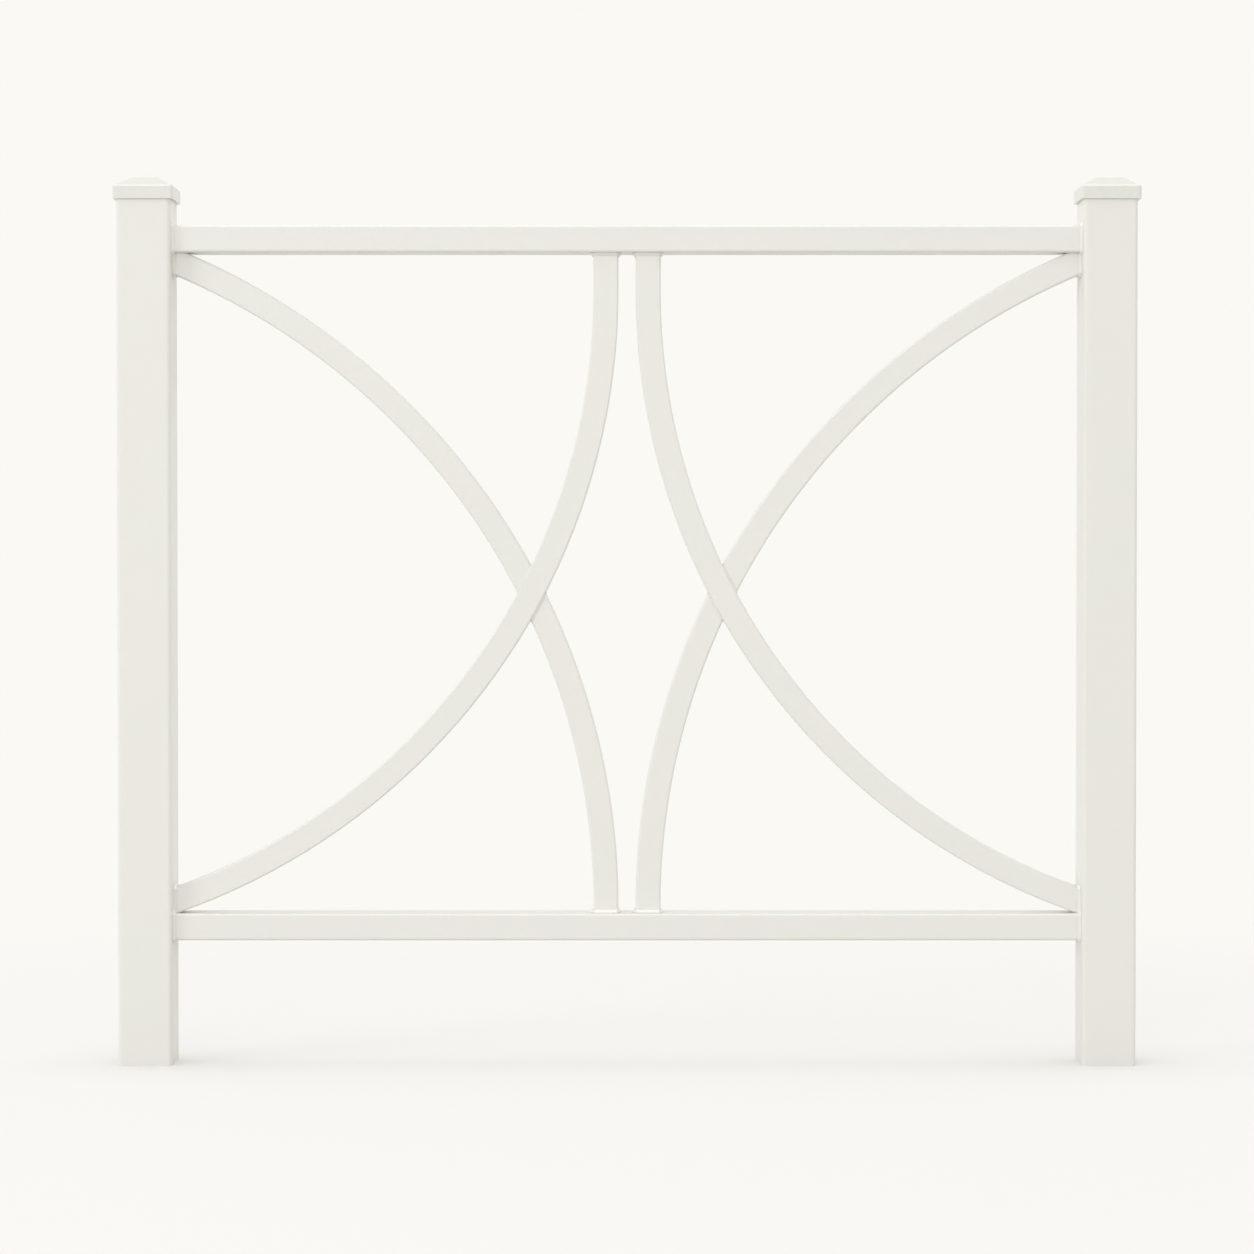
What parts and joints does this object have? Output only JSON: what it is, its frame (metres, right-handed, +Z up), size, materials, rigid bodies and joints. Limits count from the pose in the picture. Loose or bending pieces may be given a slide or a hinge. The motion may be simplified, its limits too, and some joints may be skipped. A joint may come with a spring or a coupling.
{
  "type": "street barrier",
  "caption": "Fixed steel pedestrian barrier: square capped posts, two rails, and curved infill bars that cross in mirrored pairs, welded and powder coated off-white.",
  "frame": {"origin": "middle of the left post's foot, at ground level", "axes": "+X along the panel to the right post, +Y from the front to the back, +Z up"},
  "size_m": [1.137, 0.067, 0.9865],
  "materials": {
    "post_coating": "satin powder coat",
    "cap_coating": "satin powder coat",
    "rail_coating": "satin powder coat",
    "bar_coating": "satin powder coat",
    "weld_coating": "satin powder coat"
  },
  "bodies": {
    "root": {"left_post": "post_coating", "left_post_cap": "cap_coating", "left_through_bar": "bar_coating", "left_upper_bar": "bar_coating", "left_lower_bar": "bar_coating", "right_post": "post_coating", "right_post_cap": "cap_coating", "right_through_bar": "bar_coating", "right_upper_bar": "bar_coating", "right_lower_bar": "bar_coating", "top_rail": "rail_coating", "bottom_rail": "rail_coating", "left_top_corner_weld": "weld_coating", "left_bottom_corner_weld": "weld_coating", "left_top_middle_weld": "weld_coating", "left_bottom_middle_weld": "weld_coating", "left_upper_crossing_weld": "weld_coating", "left_lower_crossing_weld": "weld_coating", "right_top_corner_weld": "weld_coating", "right_bottom_corner_weld": "weld_coating", "right_top_middle_weld": "weld_coating", "right_bottom_middle_weld": "weld_coating", "right_upper_crossing_weld": "weld_coating", "right_lower_crossing_weld": "weld_coating"}
  },
  "joints": []
}
